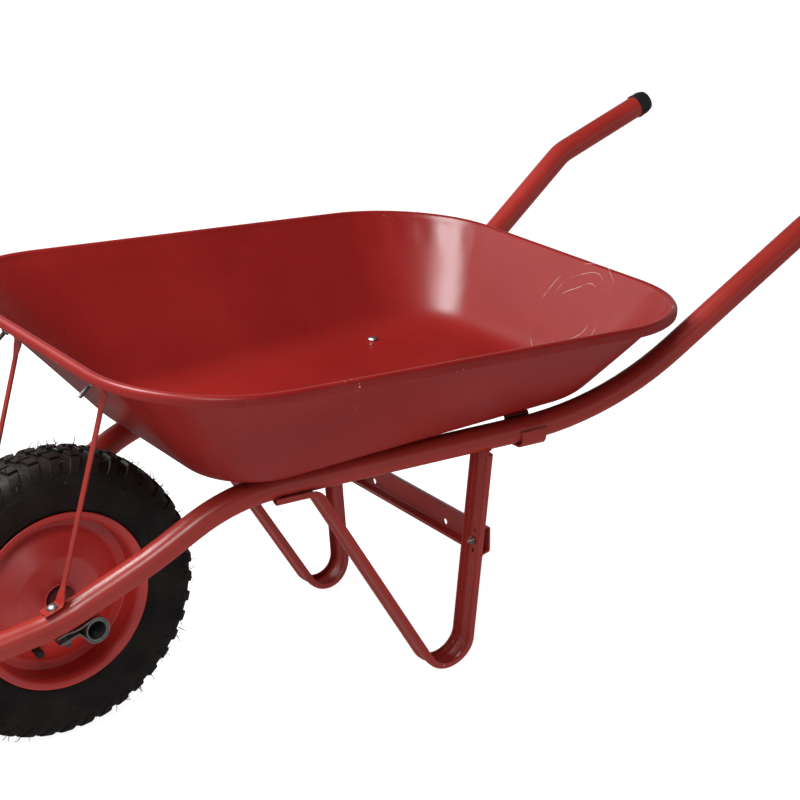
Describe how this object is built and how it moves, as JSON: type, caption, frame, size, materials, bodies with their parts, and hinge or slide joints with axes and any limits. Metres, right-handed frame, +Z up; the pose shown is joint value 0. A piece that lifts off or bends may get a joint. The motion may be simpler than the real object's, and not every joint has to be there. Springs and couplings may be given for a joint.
{
  "type": "wheelbarrow",
  "caption": "Single-wheel barrow with a pressed steel tray on a bent tube frame, strap legs and a pneumatic wheel that turns on a clamped axle.",
  "frame": {"origin": "on the ground under the centre of the barrow's bounding box", "axes": "+X from the wheel towards the handles, +Y to the right seen from the handles, +Z up"},
  "size_m": [1.365, 0.6442, 0.6005],
  "materials": {
    "red_paint": "gloss",
    "zinc_steel": "satin",
    "bearing_steel": "satin",
    "tyre_rubber": "matte",
    "tube_rubber": "matte",
    "black_plastic": "satin"
  },
  "bodies": {
    "body": {"axle": "zinc_steel", "frame_tube": "red_paint", "left_axle_clamp_bolt": "zinc_steel", "left_axle_clamp_nut": "zinc_steel", "left_axle_spacer": "bearing_steel", "left_axle_strap": "zinc_steel", "left_brace_bolt": "zinc_steel", "left_brace_nut": "zinc_steel", "left_end_cap": "black_plastic", "left_front_stay": "red_paint", "left_leg": "red_paint", "left_stay_bolt": "zinc_steel", "left_stay_nut": "zinc_steel", "left_tray_bolt": "zinc_steel", "left_tray_nut": "zinc_steel", "leg_cross_brace": "red_paint", "rear_crossbar": "red_paint", "right_axle_clamp_bolt": "zinc_steel", "right_axle_clamp_nut": "zinc_steel", "right_axle_spacer": "bearing_steel", "right_axle_strap": "zinc_steel", "right_brace_bolt": "zinc_steel", "right_brace_nut": "zinc_steel", "right_end_cap": "black_plastic", "right_front_stay": "red_paint", "right_leg": "red_paint", "right_stay_bolt": "zinc_steel", "right_stay_nut": "zinc_steel", "right_tray_bolt": "zinc_steel", "right_tray_nut": "zinc_steel", "tray": "red_paint"},
    "wheel": {"tyre": "tyre_rubber", "inner_tube": "tube_rubber", "left_wheel_disc": "red_paint", "right_wheel_disc": "red_paint", "wheel_hub": "red_paint", "left_bearing": "bearing_steel", "right_bearing": "bearing_steel", "valve_stem": "tube_rubber", "valve_cap": "black_plastic"}
  },
  "joints": [
    {"name": "wheel_spin", "type": "hinge", "parent": "body", "child": "wheel", "pos_m": [-0.45265, 0, 0.178], "axis": [0, 1, 0], "continuous": true}
  ]
}
